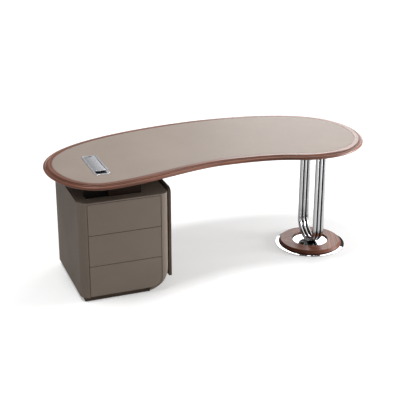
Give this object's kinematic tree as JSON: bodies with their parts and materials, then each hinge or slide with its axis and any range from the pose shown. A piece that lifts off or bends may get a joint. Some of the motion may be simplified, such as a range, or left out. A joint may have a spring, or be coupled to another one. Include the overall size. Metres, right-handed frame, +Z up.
{
  "type": "curved desk",
  "caption": "Kidney-shaped desk: inlaid leather top in a moulded wooden rim, on a drawer pedestal with rounded corners at one end and a bent-tube leg on a round base at the other.",
  "frame": {"origin": "on the floor, under the middle of the top's bounding box", "axes": "+X along the length of the top, from the drawer pedestal to the tube leg; +Y away from the seated user, who faces +Y; +Z up"},
  "size_m": [2.1098, 1.0098, 0.7525],
  "materials": {
    "taupe_leather": "smooth fine-grained taupe leather, low sheen",
    "walnut": "reddish walnut, satin lacquer",
    "dark_board": "dark stained board, matte",
    "taupe_lacquer": "taupe satin lacquer on board",
    "brown_lacquer": "dark brown satin lacquer on board",
    "dark_panel": "dark melamine-faced board, matte",
    "black_base": "black matte lacquer on board",
    "birch_ply": "clear-lacquered birch plywood",
    "zinc_steel": "zinc-plated pressed steel",
    "black_steel": "black powder-coated steel",
    "chrome": "mirror-polished chrome plating",
    "brushed_aluminium": "satin brushed aluminium",
    "dark_plastic": "matte black moulded plastic",
    "grey_plastic": "grey moulded plastic",
    "white_plastic": "pale glossy moulded plastic",
    "felt": "black felt sheet"
  },
  "bodies": {
    "desk": {"leather_top": "taupe_leather", "wood_rim": "walnut", "top_board": "dark_board", "power_bezel": "brushed_aluminium", "power_tub": "dark_plastic", "socket_block": "grey_plastic", "socket_left": "white_plastic", "socket_right": "white_plastic", "case_left_side": "taupe_lacquer", "case_right_side": "taupe_lacquer", "case_top": "taupe_lacquer", "case_back": "taupe_lacquer", "case_bottom": "dark_panel", "inner_panel_left": "dark_panel", "inner_panel_right": "dark_panel", "plinth": "black_base", "riser_block": "brown_lacquer", "riser_spacer": "black_base", "riser_rear": "black_base", "wing_panel": "brown_lacquer", "wing_batten_front": "black_base", "wing_batten_rear": "black_base", "runner_case_left_1": "zinc_steel", "runner_case_right_1": "zinc_steel", "runner_case_left_2": "zinc_steel", "runner_case_right_2": "zinc_steel", "runner_case_left_3": "zinc_steel", "runner_case_right_3": "zinc_steel", "leg_tube_1": "chrome", "leg_tube_2": "chrome", "leg_tube_3": "chrome", "leg_head_plate": "black_steel", "base_disc": "chrome", "base_ring": "walnut", "base_pad": "felt"},
    "lid": {"power_lid": "brushed_aluminium"},
    "drawer_1": {"drawer_front_1": "taupe_lacquer", "drawer_box_1": "birch_ply", "drawer_bottom_1": "birch_ply", "runner_drawer_left_1": "zinc_steel", "runner_drawer_right_1": "zinc_steel"},
    "drawer_2": {"drawer_front_2": "taupe_lacquer", "drawer_box_2": "birch_ply", "drawer_bottom_2": "birch_ply", "runner_drawer_left_2": "zinc_steel", "runner_drawer_right_2": "zinc_steel"},
    "drawer_3": {"drawer_front_3": "taupe_lacquer", "drawer_box_3": "birch_ply", "drawer_bottom_3": "birch_ply", "runner_drawer_left_3": "zinc_steel", "runner_drawer_right_3": "zinc_steel"},
    "runner_pair_1": {"runner_middle_left_1": "zinc_steel", "runner_middle_right_1": "zinc_steel"},
    "runner_pair_2": {"runner_middle_left_2": "zinc_steel", "runner_middle_right_2": "zinc_steel"},
    "runner_pair_3": {"runner_middle_left_3": "zinc_steel", "runner_middle_right_3": "zinc_steel"}
  },
  "joints": [
    {"name": "lid_slide", "type": "slide", "parent": "desk", "child": "lid", "axis": [0, -1, 0], "range_m": [0, 0.045]},
    {"name": "drawer_1_slide", "type": "slide", "parent": "desk", "child": "drawer_1", "axis": [0, -1, 0], "range_m": [0, 0.42]},
    {"name": "drawer_2_slide", "type": "slide", "parent": "desk", "child": "drawer_2", "axis": [0, -1, 0], "range_m": [0, 0.42]},
    {"name": "drawer_3_slide", "type": "slide", "parent": "desk", "child": "drawer_3", "axis": [0, -1, 0], "range_m": [0, 0.42]},
    {"name": "runner_pair_1_slide", "type": "slide", "parent": "desk", "child": "runner_pair_1", "axis": [0, -1, 0], "range_m": [0, 0.21]},
    {"name": "runner_pair_2_slide", "type": "slide", "parent": "desk", "child": "runner_pair_2", "axis": [0, -1, 0], "range_m": [0, 0.21]},
    {"name": "runner_pair_3_slide", "type": "slide", "parent": "desk", "child": "runner_pair_3", "axis": [0, -1, 0], "range_m": [0, 0.21]}
  ],
  "couplings": [
    {"joint": "runner_pair_1_slide", "follows": "drawer_1_slide", "ratio": 0.5},
    {"joint": "runner_pair_2_slide", "follows": "drawer_2_slide", "ratio": 0.5},
    {"joint": "runner_pair_3_slide", "follows": "drawer_3_slide", "ratio": 0.5}
  ]
}
